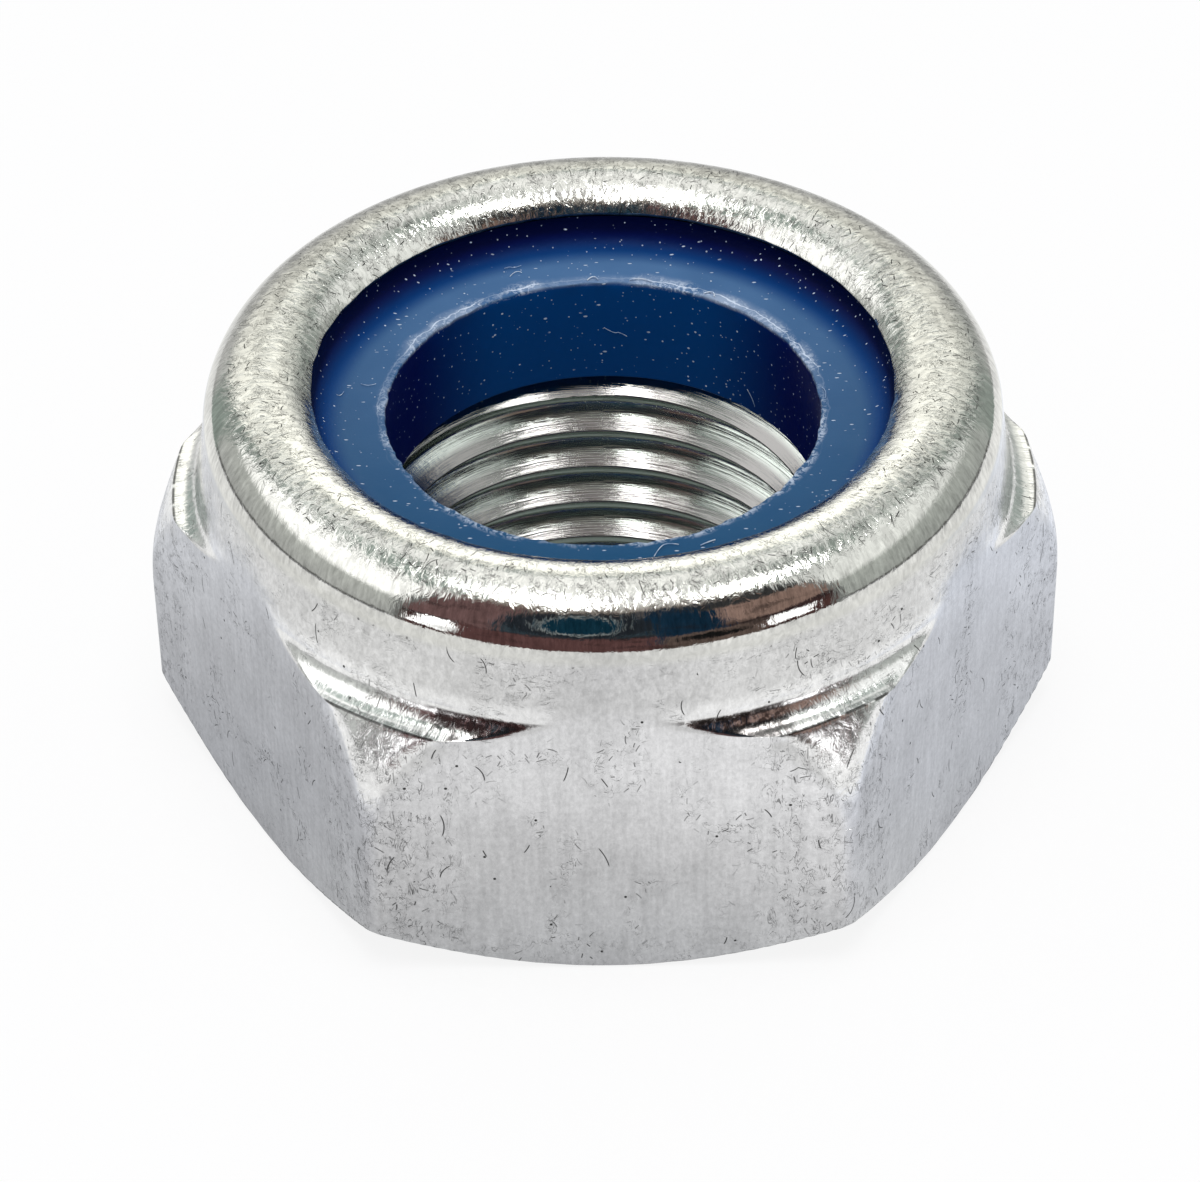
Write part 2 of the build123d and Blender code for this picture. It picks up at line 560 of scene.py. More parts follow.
# %% Half section
shoulder = (shoulder_radius, shoulder_height)
crown = tangent_arc(shoulder, (corner_radius, crown_start), 24)
cove = tangent_arc(shoulder, (collar_foot_radius, collar_foot_height), 20)
cove = cove[-2::-1] + [(collar_foot_radius, collar_foot_height)]
chamfer_top = (blank_radius, (blank_radius - bearing_radius) * tan(bearing_chamfer))
half_section = (
    [(mouth_below, 0.0)]
    + along((mouth_below, 0.0), (bearing_radius - 0.06, 0.0), 4)
    + [(bearing_radius - 0.02, 0.005), (bearing_radius + 0.02, 0.022)]
    + along((bearing_radius + 0.02, 0.022), chamfer_top, 11)
    + along(chamfer_top, (blank_radius, crown_start), 12)
    + [(corner_radius, crown_start + 0.001)]
    + crown[:-1]
    + [(shoulder_radius + 0.010, shoulder_height - 0.022)]
    + [(shoulder_radius - 0.006, shoulder_height - 0.004)]
    + cove
    + along((collar_foot_radius, collar_foot_height), (bend_radius + roll_radius, bend_height), 10)
    + arc((bend_radius, bend_height), roll_radius, 0, wrap - 2, 34)
)
end_outer = on_bend(roll_radius - tip_round, wrap)
end_inner = on_bend(underside_radius, wrap)
half_section += (
    [end_outer]
    + along(end_outer, end_inner, 4)
    + arc((bend_radius, bend_height), underside_radius, wrap, 0, 8)
    + along((seat_radius, bend_height), (seat_radius, seat_height), 3)
    + along((seat_radius, seat_height), (mouth_above, seat_height), 4)
)
print("points in the half section:", len(half_section))

# %% [markdown]
# The half section is drawn as a chain of vertices, each extruded from the last, and spun round the axis in
# steps of one degree.

# %% Draw and spin
def draw_chain(name, points):
    """A chain of vertices in the XZ plane, left in edit mode with everything selected."""
    bpy.ops.object.select_all(action="DESELECT")
    bpy.ops.mesh.primitive_plane_add(size=MM)
    chain = bpy.context.object
    chain.name = chain.data.name = name
    bpy.ops.object.mode_set(mode="EDIT")
    bpy.ops.mesh.select_all(action="SELECT")
    bpy.ops.mesh.merge(type="CENTER")
    bpy.ops.transform.translate(value=(points[0][0] * MM, 0, points[0][1] * MM))
    for (x0, z0), (x1, z1) in zip(points, points[1:]):
        step = ((x1 - x0) * MM, 0, (z1 - z0) * MM)
        bpy.ops.mesh.extrude_vertices_move(TRANSFORM_OT_translate={"value": step})
    bpy.ops.mesh.select_all(action="SELECT")
    return chain


def spin_round(chain, steps):
    bpy.ops.mesh.spin(steps=steps, angle=2 * pi, center=(0, 0, 0), axis=(0, 0, 1))
    bpy.ops.mesh.select_all(action="SELECT")
    bpy.ops.mesh.remove_doubles(threshold=1e-7)
    bpy.ops.object.mode_set(mode="OBJECT")
    print(chain.name, "faces:", len(chain.data.polygons))
    return chain


body = spin_round(draw_chain("steel_body", half_section), turn_steps)

# %% [markdown]
# The press works on the points of the mesh, all at once, so they are read into an array in millimetres and
# written back.

# %% Points of a piece
def read_points(piece):
    points = np.zeros(len(piece.data.vertices) * 3)
    piece.data.vertices.foreach_get("co", points)
    return points.reshape(-1, 3) / MM


def write_points(piece, points):
    piece.data.vertices.foreach_set("co", (points * MM).ravel())
    piece.data.update()


def ramp(value, low, high):
    """0 below low, 1 above high, and a smooth step between them."""
    share = np.clip((value - low) / (high - low), 0, 1)
    return share * share * (3 - 2 * share)


print("points in the body:", len(read_points(body)))

# %% [markdown]
# At each angle the press knows how far out the hexagon's flat or rounded corner is, and takes the smaller of
# that and the lathed radius. Near a tie it eases from one to the other, over a width that suits each edge:
# wide on the crown, tight on the cove.

# %% Press the hexagon
crowding = 0.55
# Each pair is a height and the width of the ease there, in millimetres.
edge_softness = [(0, 0.08), (1.0, 0.08), (1.35, 0.02), (3.7, 0.02), (4.4, 0.10), (5.0, 0.20), (5.7, 0.28),
                 (6.10, 0.24), (6.21, 0.06), (6.6, 0.04), (7.0, 0.10), (7.6, 0.10)]


def hexagon_reach(angle):
    """Distance from the axis to the rounded hexagon, at this angle round from the middle of a flat."""
    folded = np.abs((angle + pi / 6) % (pi / 3) - pi / 6)
    flat = flat_distance / np.cos(folded)
    middle = (flat_distance - corner_rounding) / cos(pi / 6)
    off = pi / 6 - folded
    beyond = np.sqrt(np.maximum(corner_rounding**2 - (middle * np.sin(off)) ** 2, 0))
    rounded = middle * np.cos(off) + beyond
    touch = pi / 6 - atan2(corner_rounding * sin(pi / 6), middle + corner_rounding * cos(pi / 6))
    return np.where(folded > touch, rounded, flat)


def crowd_to_corners(points):
    """Draw the steps of the spin closer together at the corners, where the small forms are."""
    radius = np.hypot(points[:, 0], points[:, 1])
    angle = np.arctan2(points[:, 1], points[:, 0])
    angle = angle - ramp(radius, 6.0, 7.5) * crowding / 6 * np.sin(6 * angle)
    points[:, 0], points[:, 1] = radius * np.cos(angle), radius * np.sin(angle)
    return radius, angle


def press_hexagon(piece):
    """Press the lathed skin in to the hexagon, and note on each point how far inside the hexagon it was."""
    points = read_points(piece)
    radius, angle = crowd_to_corners(points)
    height = points[:, 2]
    reach = hexagon_reach(angle - pi / 2)
    ease = np.interp(height, *zip(*edge_softness))
    share = np.maximum(ease - np.abs(radius - reach), 0) / ease
    pressed = np.minimum(radius, reach) - share**2 * ease / 4
    points[:, :2] *= (pressed / radius)[:, None]
    write_points(piece, points)
    inside = piece.data.attributes.new("inside_hexagon", "FLOAT", "POINT")
    inside.data.foreach_set("value", reach - radius)


press_hexagon(body)
print("pressed across flats, mm:", round(body.dimensions.y / MM, 3))

# %% [markdown]
# ## Thread
#
# The bore is tapped M10 x 1. One pitch of the thread's section is drawn, and the Screw modifier carries it
# round the axis and up. The crests are left nearly sharp and the roots round.

# %% Thread
crest_round, root_round = 0.035, 0.17
groove_centre = root_radius - root_round
crest_centre = crest_radius + crest_round
flank_lean = pi / 3
thread_start = -1.25 * pitch
thread_turns = 8


def thread_section():
    """One pitch of the section, from the middle of one groove to the middle of the next."""
    lower = [(groove_centre + root_round * cos(a), root_round * sin(a) - pitch / 2)
             for a in (flank_lean * i / 4 for i in range(5))]
    upper = [(crest_centre - crest_round * cos(a), crest_round * sin(a))
             for a in (flank_lean * (i / 3 - 1) for i in range(4))]
    middle = [(r, -z) for r, z in reversed(upper[:-1])]
    top = [(r, -z) for r, z in reversed(lower)]
    return lower + upper + middle + top


section = [(r, z + thread_start) for r, z in thread_section()]
thread = draw_chain("thread", section)
bpy.ops.object.mode_set(mode="OBJECT")
winding = thread.modifiers.new("winding", "SCREW")
winding.axis = "Z"
winding.angle = 2 * pi
winding.screw_offset = pitch * MM
winding.iterations = thread_turns
winding.steps = winding.render_steps = turn_steps
winding.use_smooth_shade = False
bpy.ops.object.modifier_apply(modifier="winding")
print("thread faces:", len(thread.data.polygons))

# %% [markdown]
# Then the two countersinks are cut: whatever stands inside their cones is pushed out to them, and what runs
# past the ends is flattened on to them. The thread then meets the body's two open edges and is merged to them.

# %% Countersinks
def cut_countersinks(piece):
    points = read_points(piece)
    height = np.clip(points[:, 2], 0, seat_height)
    radius = np.hypot(points[:, 0], points[:, 1])
    slope = tan(pi / 3)
    low_cone = mouth_below - height * slope
    high_cone = mouth_above - (seat_height - height) * slope
    cut = np.maximum(radius, np.maximum(low_cone, high_cone))
    cut = np.where(points[:, 2] >= seat_height, mouth_above, cut)
    cut = np.where(points[:, 2] <= 0, mouth_below, cut)
    points[:, :2] *= (cut / radius)[:, None]
    points[:, 2] = height
    write_points(piece, points)


cut_countersinks(thread)
pick(body, thread)
bpy.ops.object.join()
bpy.ops.object.mode_set(mode="EDIT")
bpy.ops.mesh.select_all(action="SELECT")
bpy.ops.mesh.remove_doubles(threshold=2e-6)
bpy.ops.mesh.dissolve_degenerate(threshold=1e-6)
bpy.ops.mesh.normals_make_consistent(inside=False)
bpy.ops.object.mode_set(mode="OBJECT")
print("body with thread, faces:", len(body.data.polygons))

# %% [markdown]
# No die is perfect. The skin is let in by up to three hundredths of a millimetre in soft waves, which is what
# makes reflections wander, and the rolled rim's edge is left a little ragged where the steel was drawn in.

# %% Wear in the shape
wave_depth, scoop_wave_depth = 0.016, 0.014
ragged_wide, ragged_fine = 0.028, 0.012


def wander(points, scale, seed):
    offset = Vector((seed * 7.3, seed * 3.1, seed * 1.7))
    return np.array([wave.noise(Vector(point) * scale + offset) for point in points])


def age_body(piece):
    points = read_points(piece)
    radius = np.hypot(points[:, 0], points[:, 1])
    outside = radius > 5.6
    waves = np.zeros(len(points))
    broad, narrow = wander(points[outside], 0.45, 1), wander(points[outside], 1.3, 2)
    waves[outside] = 0.5 + 0.5 * (0.7 * broad + 0.3 * narrow)
    inward = np.stack([-points[:, 0] / radius, -points[:, 1] / radius, np.zeros(len(points))], 1)
    bent = radius < bend_radius
    inward[bent & outside] = 0
    height = points[:, 2]
    sunk = wave_depth * waves * ramp(height, 0.0, 0.6) * ramp(radius, 7.0, 7.6) * ramp(-radius, -9.5, -9.0)
    by_scoop = ramp(height, 4.6, 5.4) * ramp(radius, 8.3, 8.6)
    sunk += scoop_wave_depth * (0.5 + 0.5 * wander(points, 2.4, 9)) * by_scoop
    points += inward * sunk[:, None]
    rim = (points[:, 2] > 8.5) & (radius < 6.6)
    ragged = np.zeros(len(points))
    ragged[rim] = wander(points[rim], 1.6, 3) * ragged_wide + wander(points[rim], 5.0, 4) * ragged_fine
    out = points[:, :2] / radius[:, None]
    points[:, :2] += out * (ragged * ramp(-radius, -6.6, -6.1))[:, None]
    write_points(piece, points)


age_body(body)
pick(body)
bpy.ops.object.shade_smooth_by_angle(angle=radians(38))
body.data.name = body.name
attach(body, "root")
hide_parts("nut_body")
print("body spans, mm:", [round(value / MM, 3) for value in body.dimensions])

# %% [markdown]
# ## Nylon ring
#
# The ring is moulded nylon, dyed blue. Rolling the rim squeezes it, so its top is a shallow dish: flat round
# the hole and steep where it climbs to the rim. Its section is spun like the body's, with a hair's clearance
# from the steel all round.

# %% Ring
hole_radius = 4.56
dish_height = 8.01
dish_radius = 5.38
clearance, foot_clearance = 0.02, 0.005
ring_wrap = wrap + 1.1
ring_steps = 300
tuck = on_bend(0.19, ring_wrap)
ring_edge = on_bend(1.17, ring_wrap)
outside_top = (seat_radius - clearance, bend_height - clearance)
outside_foot = (seat_radius - clearance, seat_height + foot_clearance)
hole_foot = (hole_radius, seat_height + 0.035)
dish_run, dish_rise = ring_edge[0] - dish_radius, ring_edge[1] - dish_height
dish_side = [(dish_radius + dish_run * sin(a), dish_height + dish_rise * (1 - cos(a)))
             for a in (pi / 2 * step / 12 for step in range(12))]
ring_section = (
    [outside_top, outside_foot]
    + along(outside_foot, (hole_radius + 0.03, seat_height + foot_clearance), 5)
    + [hole_foot]
    + along(hole_foot, (hole_radius, dish_height - 0.05), 14)
    + [(hole_radius + 0.008, dish_height - 0.02), (hole_radius + 0.03, dish_height - 0.004)]
    + along((hole_radius + 0.03, dish_height - 0.004), dish_side[0], 12)
    + dish_side[1:]
    + [ring_edge]
    + along(ring_edge, tuck, 4)
    + [outside_top]
)
ring = spin_round(draw_chain("nylon_ring", ring_section), ring_steps)
bpy.ops.object.mode_set(mode="EDIT")
bpy.ops.mesh.select_all(action="SELECT")
bpy.ops.mesh.remove_doubles(threshold=1e-6)
bpy.ops.mesh.normals_make_consistent(inside=False)
bpy.ops.object.mode_set(mode="OBJECT")

# %% [markdown]
# The squeezed top is not quite even, and the tool that cut the hole left its upper edge frayed.

# %% Uneven ring
def soften_ring(piece):
    points = read_points(piece)
    radius = np.hypot(points[:, 0], points[:, 1])
    top = (points[:, 2] > seat_height + 0.3) & (radius < 6.05)
    uneven = np.zeros(len(points))
    uneven[top] = wander(points[top], 1.1, 5) * 0.016 + wander(points[top], 4.0, 6) * 0.007
    points[:, 2] += uneven
    lip = ramp(-radius, -(hole_radius + 0.10), -hole_radius)
    lip = lip * ramp(points[:, 2], dish_height - 0.15, dish_height)
    near = lip > 0
    ragged = np.zeros(len(points))
    ragged[near] = wander(points[near], 3.2, 7) * 0.05 + wander(points[near], 9.0, 8) * 0.03
    points[:, :2] *= (1 + lip * ragged / radius)[:, None]
    write_points(piece, points)


soften_ring(ring)
pick(ring)
bpy.ops.object.shade_smooth_by_angle(angle=radians(45))
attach(ring, "root")
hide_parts("nylon_insert")
print("ring spans, mm:", [round(value / MM, 3) for value in ring.dimensions])

# %% [markdown]
# Where the tool left the hole's edge it tore a few curls and threads of nylon, thinner than a hair. Each is a
# curve of a few points, given a round section, and all of them are joined into one piece.

# %% Torn threads
# Each row is a thickness and the control points of the thread's curve, in millimetres.
thread_routes = [
    (0.026, [(-0.30, 4.60, 8.03), (-0.22, 4.70, 8.05), (-0.10, 4.69, 8.05), (-0.06, 4.61, 8.03)]),
    (0.024, [(0.62, 4.58, 8.03), (0.80, 4.63, 8.05), (0.98, 4.56, 8.05), (1.10, 4.50, 8.03)]),
    (0.026, [(2.22, 4.05, 8.03), (2.36, 4.09, 8.05), (2.46, 4.02, 8.05), (2.44, 3.92, 8.03)]),
    (0.014, [(-2.10, 5.06, 8.05), (-1.98, 5.13, 8.05), (-1.90, 5.05, 8.05), (-1.74, 5.16, 8.05)]),
    (0.013, [(-1.98, 4.78, 8.03), (-1.84, 5.00, 8.07), (-1.72, 4.90, 8.04)]),
    (0.013, [(0.05, 4.535, 6.80), (0.28, 4.52, 6.64), (0.38, 4.515, 6.70), (0.55, 4.50, 6.58)]),
    (0.013, [(3.15, 3.25, 6.02), (3.29, 3.10, 5.82), (3.31, 3.09, 5.66)]),
    (0.018, [(0.98, -4.99, 8.03), (1.10, -4.72, 8.07), (1.27, -4.60, 8.06), (1.48, -4.62, 8.03)]),
    (0.024, [(1.92, -4.66, 8.03), (2.08, -4.58, 8.06), (2.22, -4.50, 8.04)]),
    (0.013, [(-5.10, 0.95, 8.03), (-4.95, 0.80, 8.06), (-4.78, 0.92, 8.05)]),
    (0.013, [(-5.62, 0.60, 8.04), (-5.52, 0.42, 8.06), (-5.45, 0.66, 8.05)]),
    (0.016, [(4.62, 0.60, 8.02), (4.72, 0.40, 8.08), (4.66, 0.20, 8.04)]),
]
torn_threads = []
for thickness, route in thread_routes:
    bpy.ops.object.select_all(action="DESELECT")
    bpy.ops.curve.primitive_nurbs_path_add(radius=MM)
    strand = bpy.context.object
    strand.data.splines.clear()
    line = strand.data.splines.new("NURBS")
    line.points.add(len(route) - 1)
    for point, place in zip(line.points, route):
        point.co = (*(value * MM for value in place), 1)
    line.order_u, line.use_endpoint_u, line.resolution_u = 3, True, 6
    strand.data.bevel_depth = thickness / 2 * MM
    strand.data.bevel_resolution = 1
    strand.data.use_fill_caps = True
    bpy.ops.object.convert(target="MESH")
    torn_threads.append(bpy.context.object)
pick(*torn_threads)
bpy.ops.object.join()
torn_piece = bpy.context.object
torn_piece.name = torn_piece.data.name = "torn_threads"
bpy.ops.object.shade_smooth()
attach(torn_piece, "root")
print("torn threads, faces:", len(torn_piece.data.polygons))

# %% [markdown]
# ## Steel finish
#
# Bright zinc over cold-formed steel. Close up it is not a clean mirror: the plating is crinkled like fine
# orange peel, tumbling in bulk leaves nicks and small pits, the rolled rim has fine lines that run across it,
# and the flats have faint streaks from the die.
#
# The patterns lie on the unrolled skin: the way round, and the way up, which goes on over the bend of the rim.

# %% Steel
skin_radius = 9.2
steel = Finish(bpy.data.materials.new("bright_zinc"))
p = steel.place()
px, py, pz = steel.split(p)
out = (px * px + py * py) ** 0.5
round_angle = px.maths("ARCTAN2", px, -py)
bend_angle = (pz - bend_height).maths("ARCTAN2", pz - bend_height, out - bend_radius).most(0.0)
around = round_angle * skin_radius
up = pz.least(bend_height) + bend_angle * roll_radius
inside = steel.node("ShaderNodeAttribute", {"attribute_name": "inside_hexagon"}, output=2)
turned = inside.rise(-0.03, 0.03) * pz.rise(1.5, 3.0)
outer = out.rise(5.6, 5.8)
on_rim = pz.rise(7.9, 8.15)
rim_top = bend_angle.rise(0.70, 1.05)


def skin(stretch_around, stretch_up, shift=0.0):
    """Coordinates on the unrolled skin, stretched."""
    return steel.join(around * stretch_around + shift, up * stretch_up + shift, 0.0)


def flat_noise(where, scale, detail=2.0, roughness=0.5, distortion=0.0):
    inputs = {"Vector": where, "Scale": scale, "Detail": detail, "Roughness": roughness,
              "Distortion": distortion}
    return steel.node("ShaderNodeTexNoise", {"noise_dimensions": "2D"}, inputs)


def hairlines(where, scale, roughness, distortion, thin, thick):
    """Thin lines where the noise passes through its middle value."""
    return abs(flat_noise(where, scale, 3.0, roughness, distortion) - 0.5).fall(thin, thick)


def nicks(cell, length, width, shift, share, lean=0.0, spread=pi):
    """Short fine lines, at most one to each cell of the unrolled skin."""
    where = skin(1.0, 1.0, shift)
    inputs = {"Vector": where, "Scale": 1 / cell, "Randomness": 1.0}
    middle = steel.node("ShaderNodeTexVoronoi", {"voronoi_dimensions": "2D"}, inputs, 2)
    chance = Wire(steel, middle.socket.node.outputs[1])
    offset = steel.node("ShaderNodeVectorMath", {"operation": "SUBTRACT"}, {0: where, 1: middle})
    dx, dy, _ = steel.split(offset)
    chosen, size, bow = steel.split(chance)
    angle = (chosen * 7.31).maths("FRACT", chosen * 7.31) * spread + lean - spread / 2
    cosine, sine = angle.maths("COSINE", angle), angle.maths("SINE", angle)
    a = dx * cosine + dy * sine
    b = dy * cosine - dx * sine + (bow - 0.5) * a * a * 3.0
    reach = (size * 0.7 + 0.3) * length
    line = abs(b).fall(width * 0.5, width) * (abs(a) / reach).fall(0.7, 1.0)
    return line * chosen.fall(share, share + 0.001)


print("steel nodes:", len(steel.tree.nodes))

# %% [markdown]
# The relief has four parts: soft waves, a crinkle that is strongest on the rim's top and on the scoops, faint
# upright drawing lines on the flats, and fine lines across the rim.

# %% Relief of the steel
crinkle = flat_noise(skin(1.0, 0.8), 5.0, 3.0, 0.6, 0.8)
waves = flat_noise(skin(1.0, 1.0, 11.0), 1.7, 2.0, 0.5)
drawn = flat_noise(skin(6.0, 0.6, 5.0), 1.0, 2.0, 0.6)
rough_rim = flat_noise(skin(8.0, 2.2, 3.0), 1.0, 3.0, 0.65)
on_scoop = turned * pz.band(4.6, 6.8, 0.3)
crinkle_height = (0.0012 + turned * (1.0 - on_rim) * 0.0046 + on_scoop * pz.fall(6.40, 6.58) * 0.0045
                  + on_rim * (0.0012 + rim_top * 0.0105))
relief = (crinkle * crinkle_height
          + waves * (0.0035 - on_rim * 0.0015)
          + drawn * ((1.0 - turned) * 0.0010)
          + rough_rim * (on_rim * (0.0008 + rim_top * 0.0006)))
print("steel nodes with relief:", len(steel.tree.nodes))

# %% [markdown]
# Nuts that tumbled in bulk carry fine nicks in clusters, a few longer ones, broken wandering cracks and nets
# of cracks in the plating, and small pits. They are dark, because the mirror is gone there.

# %% Marks on the steel
clusters = flat_noise(skin(1.0, 0.8, 31.0), 0.75, 2.0, 0.5)
here = clusters.rise(0.48, 0.72)
by_corner = out.rise(9.0, 9.55) * (1.0 - on_rim)
by_foot = pz.fall(0.5, 1.5)
worn = here.most(by_corner * 0.7).most(by_foot * 0.5).most(rim_top * 0.8)
small = nicks(0.26, 0.14, 0.018, 0.0, 0.58)
long = nicks(0.85, 0.34, 0.018, 7.0, 0.24, pi / 2, 1.2)
broken = flat_noise(skin(1.0, 1.0, 23.0), 2.6, 2.0)
wriggle = flat_noise(skin(1.0, 1.0, 19.0), 3.2, 3.0, 0.6, 1.2)
cracks = abs(wriggle - 0.5).fall(0.004, 0.011) * broken.rise(0.50, 0.56) * worn
stirred = steel.node("ShaderNodeVectorMath", {"operation": "ADD"},
                     {0: skin(1.0, 1.0, 3.0), 1: steel.join(wriggle * 0.5, broken * 0.5, 0.0)})
cells = steel.node("ShaderNodeTexVoronoi", {"voronoi_dimensions": "2D", "feature": "DISTANCE_TO_EDGE"},
                   {"Vector": stirred, "Scale": 3.6, "Randomness": 1.0})
net = cells.fall(0.012, 0.045) * broken.rise(0.40, 0.52) * worn
holes = steel.node("ShaderNodeTexVoronoi", {"voronoi_dimensions": "2D"},
                   {"Vector": skin(1.0, 1.0, 41.0), "Scale": 1.1, "Randomness": 1.0}, 0)
pits = holes.fall(0.022, 0.045) * broken.rise(0.54, 0.60)
marks = (small * here * 0.8).most(long * 0.85).most(cracks * 0.9).most(net * 0.45).most(pits)
print("steel nodes with marks:", len(steel.tree.nodes))

# %% [markdown]
# There are upright lines by the corners, level ones round the collar, and wrinkles and more nicks on the
# rim's top. The roll below it is polished by the die, and carries hardly any.

# %% Lines and wrinkles
upright = hairlines(skin(2.4, 0.7, 71.0), 2.6, 0.6, 0.6, 0.006, 0.020)
upright = upright * out.rise(8.85, 9.2) * broken.rise(0.42, 0.50) * (1.0 - on_rim)
level = hairlines(skin(0.8, 3.2, 77.0), 2.4, 0.65, 0.5, 0.005, 0.016)
level = level * turned * clusters.rise(0.40, 0.52) * broken.rise(0.42, 0.50)
wrinkles = abs(crinkle - 0.48).fall(0.006, 0.022) * rim_top * broken.rise(0.42, 0.52)
rim_nicks = small * rim_top * clusters.rise(0.40, 0.54)
marks = marks.most(wrinkles * 0.85).most(upright * 0.65).most(level * 0.55).most(rim_nicks)
marks = marks * outer * (1.0 - on_rim * (1.0 - rim_top * 0.9))
print("steel nodes with lines:", len(steel.tree.nodes))

# %% [markdown]
# Painted shade darkens the crease beside each narrow shoulder in patches, and the two coves over the front
# flat.

# %% Painted shade in the creases
beside_shoulder = ((out - shoulder_radius + 0.02) ** 2 + (pz - shoulder_height) ** 2) ** 0.5
# Painted shade along the crease beside each shoulder, in patches.
painted_crease_shade = beside_shoulder.fall(0.015, 0.055) * turned * broken.rise(0.28, 0.46)
sixths = round_angle / (pi / 3) + 0.5
off_middle = abs(sixths.maths("FRACT", sixths) - 0.5) * 60
in_cove = on_scoop * pz.band(6.20, 6.58, 0.06) * out.fall(9.06, 9.12) * off_middle.band(9, 23, 3)
over_front = abs(round_angle).fall(0.42, 0.50)
# Painted shade in the two coves over the front flat, in patches.
painted_cove_shade = in_cove * over_front * flat_noise(skin(1.4, 2.2, 51.0), 2.2, 3.0, 0.7).rise(0.34, 0.50)
print("steel nodes with shade_in_creases:", len(steel.tree.nodes))

# %% [markdown]
# In the bore the tap leaves fine lines that follow the thread, so their pattern repeats with the thread's
# phase: height less the share of a turn.

# %% Bore
phase = (pz - thread_start) / pitch - px.maths("ARCTAN2", py, px) / (2 * pi)
spin = phase * (2 * pi)
ring_x, ring_y = spin.maths("COSINE", spin), spin.maths("SINE", spin)
tap_lines = steel.noise(steel.join(ring_x * 3.0, ring_y * 3.0, round_angle * 0.6), 2.2, 3.0, 0.7)
chatter = steel.noise(steel.join(px * 7.0, py * 7.0, pz * 0.9), 1.6, 2.0, 0.6)
bore_relief = tap_lines * 0.0062 + chatter * 0.0016
print("steel nodes with bore:", len(steel.tree.nodes))

# %% [markdown]
# The zinc's tone drifts in a slow haze, with a fine grain and with the relief, and is darker in the marks.
# Painted shade darkens the far outer side of the rim and the rim's rolled end, and a painted highlight
# lightens the near inner side of the rim. The tapped steel is darker on the crests and lighter and greenish in
# the roots, which is painted light. The two metals meet under the ring, and on the bearing face just outside
# the countersink.

# %% Steel shader
mark_and_crease_shade_colour, cove_shade_colour, painted_shade_under_rim = (0.05, 0.05, 0.05), (0.07, 0.06, 0.06), (0.045, 0.04, 0.04)
bore_ends = 5.70


def metal(colour, roughness, height):
    return steel.node("ShaderNodeBsdfPrincipled", None, {
        "Base Color": colour, "Metallic": 1.0, "Roughness": roughness, "Normal": steel.bump(height)})


haze = flat_noise(skin(1.0, 1.0, 61.0), 0.7, 3.0, 0.6)
grain = flat_noise(skin(1.0, 0.7, 67.0), 9.0, 3.0, 0.75)
# Painted shade darkens the far outer side of the rim, and a painted highlight lightens its near inner side.
tone_and_painted_rim_light = (0.605 + (haze - 0.5) * 0.22
        + (grain - 0.5) * (0.32 - on_rim * 0.20)
        + (drawn - 0.5) * (1.0 - turned) * 0.18
        + (rough_rim - 0.5) * bend_angle.rise(0.08, 0.30) * (1.0 - rim_top) * 0.55
        + (crinkle - 0.5) * (turned * 0.30 + rim_top * 0.14) + on_scoop * 0.17
        - bend_angle.fall(1.52, 1.64) * on_rim * py.rise(-2, 4) * 0.23
        + bend_angle.rise(1.55, 1.70) * py.fall(-4, -1) * 0.22)
zinc = steel.join(tone_and_painted_rim_light, tone_and_painted_rim_light, tone_and_painted_rim_light * (1.01 - on_rim * 0.04))
# Painted light: the thread's roots are lighter and greenish, and the crests darker.
root = out.rise(4.62, 4.85)
tapped = steel.mix((0.28, 0.275, 0.275), (0.60, 0.65, 0.62), root)
# Marks are dark, and the painted crease shade takes the same dark colour.
zinc = steel.mix(zinc, mark_and_crease_shade_colour, (marks * 1.1).most(painted_crease_shade * 0.9))
# Painted shade in the front coves.
zinc = steel.mix(zinc, cove_shade_colour, painted_cove_shade * 0.85)
# Painted shade on the rim's rolled end, its end face and the start of its underside, where it meets the ring.
zinc = steel.mix(zinc, painted_shade_under_rim, bend_angle.rise(2.49, 2.535) * 0.85)
dull = 0.17 - on_rim * 0.12 + rim_top * 0.07 + (crinkle - 0.5) * 0.10 + marks * 0.2
shown = steel.node("ShaderNodeMixShader", None, {
    0: out.rise(bore_ends - 0.01, bore_ends + 0.01),
    1: metal(tapped, 0.10, bore_relief),
    2: metal(zinc, dull, relief)})
steel.cover(body, shown)

# %% [markdown]
# ## Nylon finish
#
# Dyed nylon is a deep blue with a soft gloss. The flat of the top is paler, with a painted sheen that grows
# towards the far side. The hole's wall is darker, with painted shade towards its sides and the near side, and
# painted shade darkens the dish's slope, down to nearly black under the rim.

# %% Nylon
nylon = Finish(bpy.data.materials.new("blue_nylon"))
p = nylon.place()
px, py, pz = nylon.split(p)
out = (px * px + py * py) ** 0.5
cloud = nylon.noise(p, 0.8, 2.0, 0.5)
far_side = py.rise(-3.0, 5.0)
on_flat = pz.rise(7.93, 7.99)
# Painted sheen on the flat, lighter towards the far side.
painted_sheen_on_flat = nylon.ramp(py, [(-5, (0.015, 0.076, 0.166)), (0, (0.050, 0.120, 0.240)), (5, (0.082, 0.178, 0.350))])
# Painted shade on the hole's wall: lighter in the middle of the far side, darker towards its sides and the
# near side.
wall = nylon.mix((0.0002, 0.052, 0.215), (0.0001, 0.005, 0.082), (abs(px) - py * 0.35).rise(0.6, 3.4))
blue = nylon.mix(wall, painted_sheen_on_flat, on_flat)
blue = nylon.mix(blue, (0.0020, 0.045, 0.150), (1.0 - cloud) * 0.35 * on_flat)
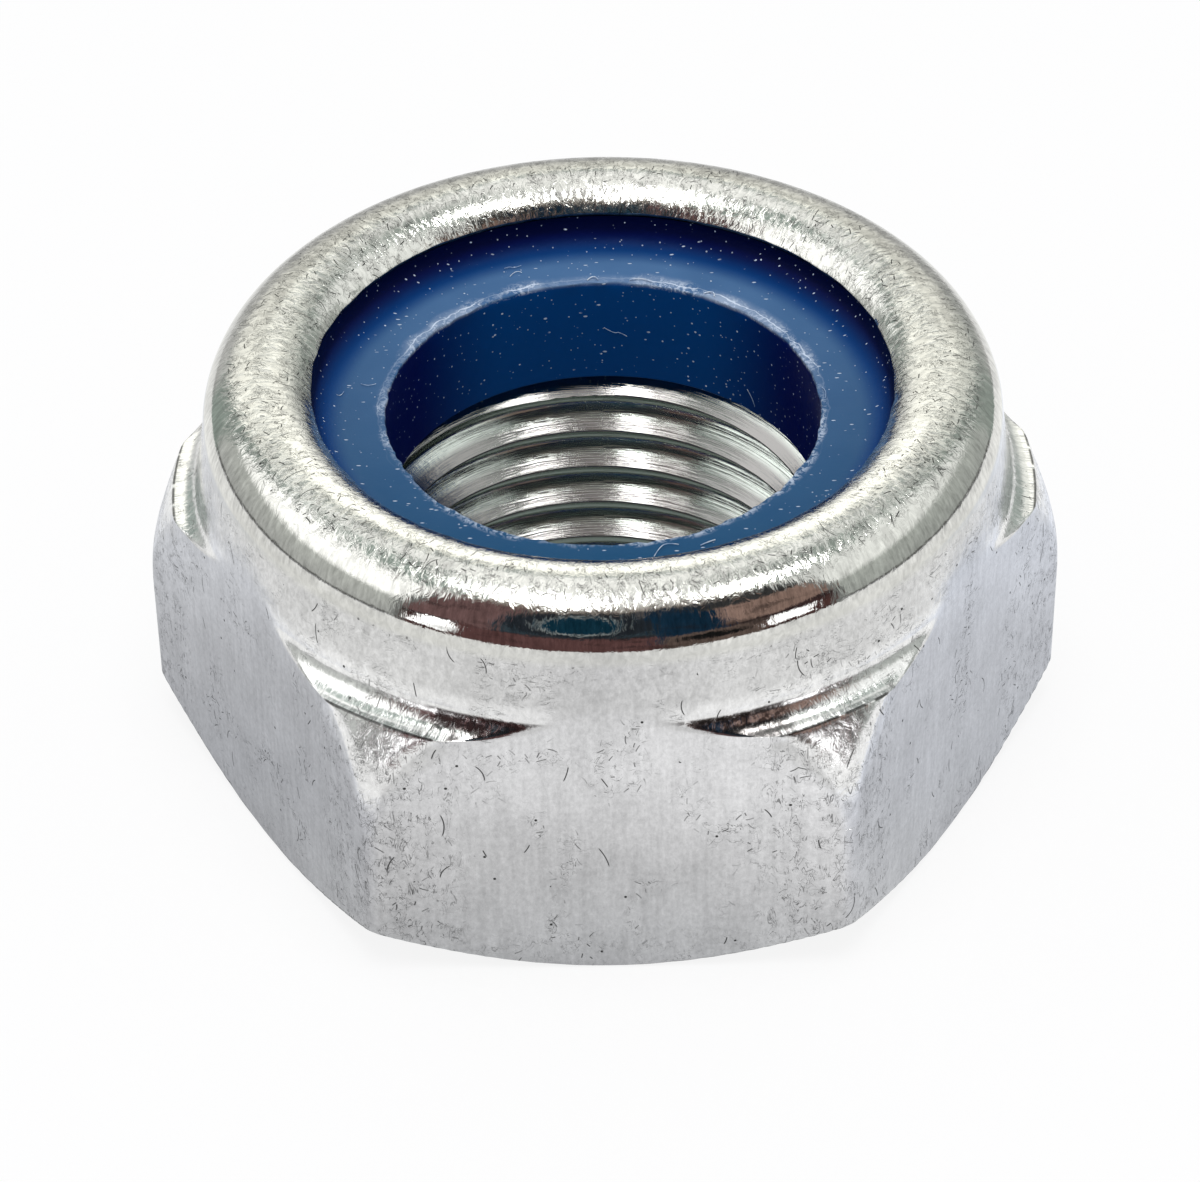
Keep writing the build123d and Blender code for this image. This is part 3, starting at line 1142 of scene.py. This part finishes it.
# Painted shade darkens the dish's slope towards the rim, starting further out away from the far side.
slope = out - (1.0 - far_side) * 0.20
blue = nylon.mix(blue, (0.0010, 0.038, 0.165), slope.rise(5.22, 5.72))
blue = nylon.mix(blue, (0.0001, 0.003, 0.050), slope.rise(5.58, 6.02))
blue = nylon.mix(blue, (0.0001, 0.002, 0.030), out.rise(5.97, 6.07))
print("nylon colour nodes:", len(nylon.tree.nodes))

# %% [markdown]
# Dust and torn fibres show as pale specks of three sizes. The hole's upper edge is pale where it is torn, and
# on the far side a lifted burr makes a broken pale line.

# %% Specks and torn edge
def dots(where, scale, small, large):
    """Round specks, one to each cell: solid up to small and gone at large, as shares of a cell."""
    return nylon.node("ShaderNodeTexVoronoi", None, {"Vector": where, "Scale": scale, "Randomness": 1.0},
                      0).fall(small, large)


size = nylon.noise(p, 2.2, 1.0)
specks = dots(p, 2.6, 0.035, 0.07) * size.rise(0.42, 0.55)
stretched = nylon.join(px * 1.0, py * 3.0, pz * 2.0)
specks = specks.most(dots(stretched, 2.3, 0.08, 0.13) * size.rise(0.44, 0.56) * 0.9)
specks = specks.most(dots(p, 6.5, 0.08, 0.14) * size.fall(0.46, 0.58) * 0.6)
torn = nylon.noise(p, 0.9, 1.0).rise(0.42, 0.60)
fray = nylon.noise(p, 7.0, 3.0, 0.7, 1.0).rise(0.44, 0.60).most(far_side * 0.6 * cloud.rise(0.35, 0.55))
edge = out.fall(4.60 + far_side * 0.06, 4.68 + torn * 0.12 + far_side * 0.20) * pz.rise(7.88, 7.98) * fray
burr_line = nylon.noise(p, 2.6, 2.0) * 0.26 + 4.58
lifted = abs(out - burr_line).fall(0.007, 0.020) * on_flat
edge = (edge * 0.75 + lifted * far_side * 0.8) * (0.25 + torn * 0.75)
print("nylon nodes with specks:", len(nylon.tree.nodes))

# %% [markdown]
# A fine grain makes the gloss soft, and the specks stand up a little.

# %% Nylon shader
pale_blue = (0.60, 0.69, 0.82)
grain = nylon.noise(p, 9.0, 2.0, 0.6)
plastic = nylon.node("ShaderNodeBsdfPrincipled", None, {
    "Base Color": nylon.mix(blue, pale_blue, specks.most(edge)),
    "Roughness": 0.42 + (grain - 0.5) * 0.1, "IOR": 1.53, "Specular IOR Level": 0.05,
    "Normal": nylon.bump(grain * 0.004 + specks * 0.01)})
nylon.cover(ring, plastic)

# %% [markdown]
# The torn threads are the same nylon, stretched thin, so light comes through and they look pale.

# %% Torn nylon
pale = Finish(bpy.data.materials.new("pale_nylon"))
shade = pale.noise(pale.place(), 4.0, 2.0)
thin = pale.node("ShaderNodeBsdfPrincipled", None, {
    "Base Color": pale.mix((0.25, 0.36, 0.55), (0.62, 0.70, 0.80), shade.rise(0.4, 0.6)),
    "Roughness": 0.35 + shade * 0.1, "IOR": 1.53})
pale.cover(torn_piece, thin)

# %% [markdown]
# ## Finish
#
# Colours are shown as they are written.

# %% Settings
bpy.context.scene.view_settings.view_transform = "Standard"
